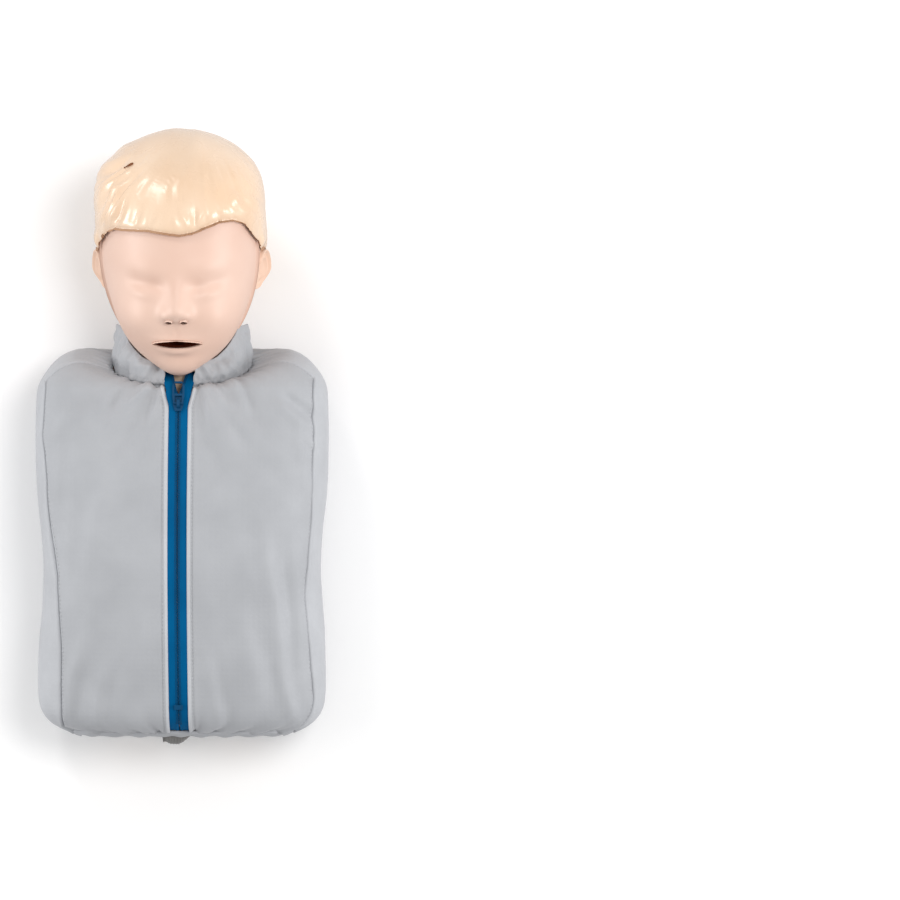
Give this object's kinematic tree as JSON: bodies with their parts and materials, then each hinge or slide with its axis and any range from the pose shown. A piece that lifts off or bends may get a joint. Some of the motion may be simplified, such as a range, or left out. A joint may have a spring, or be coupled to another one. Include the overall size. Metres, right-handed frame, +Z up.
{
  "type": "cpr training manikin",
  "caption": "Child torso resuscitation training manikin lying on its back, with tilting head, sprung chest and a zipped jacket.",
  "frame": {"origin": "on the floor, in the flat of the jacket's back, on the centre line and midway along the manikin", "axes": "+Y along the body to the crown of the head, +Z up out of the chest, +X to the right seen from above"},
  "size_m": [0.2446, 0.5145, 0.1818],
  "materials": {
    "jacket_cloth": "light grey woven jacket cloth with a faint sheen",
    "strap_webbing": "grey ribbed elastic webbing",
    "zip_tape": "blue woven zip tape",
    "zip_teeth": "blue moulded nylon teeth",
    "zip_metal": "blue enamelled die-cast metal",
    "face_skin": "soft satin vinyl in a light skin tone",
    "neck_skin": "matt vinyl in a tan skin tone",
    "hair_plastic": "glossy moulded plastic in a pale blond",
    "chest_skin": "soft vinyl in a light skin tone",
    "lung_film": "thin clear film, folded",
    "rib_plastic": "off-white moulded plastic",
    "shell_plastic": "moulded plastic in a tan skin tone",
    "mechanism_plastic": "dark grey moulded plastic",
    "clear_tube": "translucent flexible tube",
    "spring_steel": "zinc-plated spring wire",
    "screws": "zinc-plated steel"
  },
  "bodies": {
    "torso": {"back_shell": "shell_plastic", "guide_tube": "mechanism_plastic", "guide_screws": "screws", "neck_bracket": "mechanism_plastic", "bracket_screws": "screws", "neck": "neck_skin", "airway_tube": "clear_tube", "jacket_front_right": "jacket_cloth", "jacket_front_left": "jacket_cloth", "jacket_side_right": "jacket_cloth", "jacket_side_left": "jacket_cloth", "jacket_back": "jacket_cloth", "jacket_collar": "jacket_cloth", "hem_band": "jacket_cloth", "hem_strap": "strap_webbing", "zip_tape_right": "zip_tape", "zip_tape_left": "zip_tape", "zip_teeth_right": "zip_teeth", "zip_teeth_left": "zip_teeth", "zip_bottom_stop": "zip_metal"},
    "chest": {"chest_skin": "chest_skin", "lung_bag": "lung_film", "rib_cage": "rib_plastic", "plunger": "mechanism_plastic", "plunger_screws": "screws", "compression_spring": "spring_steel"},
    "head": {"skull_shell": "hair_plastic", "face_mask": "face_skin", "face_frame": "rib_plastic", "mouth_adapter": "mechanism_plastic", "neck_pivot_pins": "screws"},
    "zip_slider": {"zip_slider": "zip_metal"},
    "zip_pull": {"zip_pull": "zip_metal"}
  },
  "joints": [
    {"name": "chest_compression", "type": "slide", "parent": "torso", "child": "chest", "axis": [0, 0, -1], "range_m": [0, 0.045], "stiffness_N_per_m": 8000, "springref_m": -0.01, "deforming": ["compression_spring"]},
    {"name": "head_tilt", "type": "hinge", "parent": "torso", "child": "head", "pos_m": [0, 0.1395, 0.0845], "axis": [-1, 0, 0], "range_deg": [0, 40]},
    {"name": "zip_slide", "type": "hinge", "parent": "torso", "child": "zip_slider", "pos_m": [0, -0.1, -0.24], "axis": [1, 0, 0], "range_deg": [0, 36.07]},
    {"name": "zip_pull_swing", "type": "hinge", "parent": "zip_slider", "child": "zip_pull", "pos_m": [0, 0.02402, 0.13149], "axis": [1, 0, 0], "range_deg": [0, 170]}
  ]
}
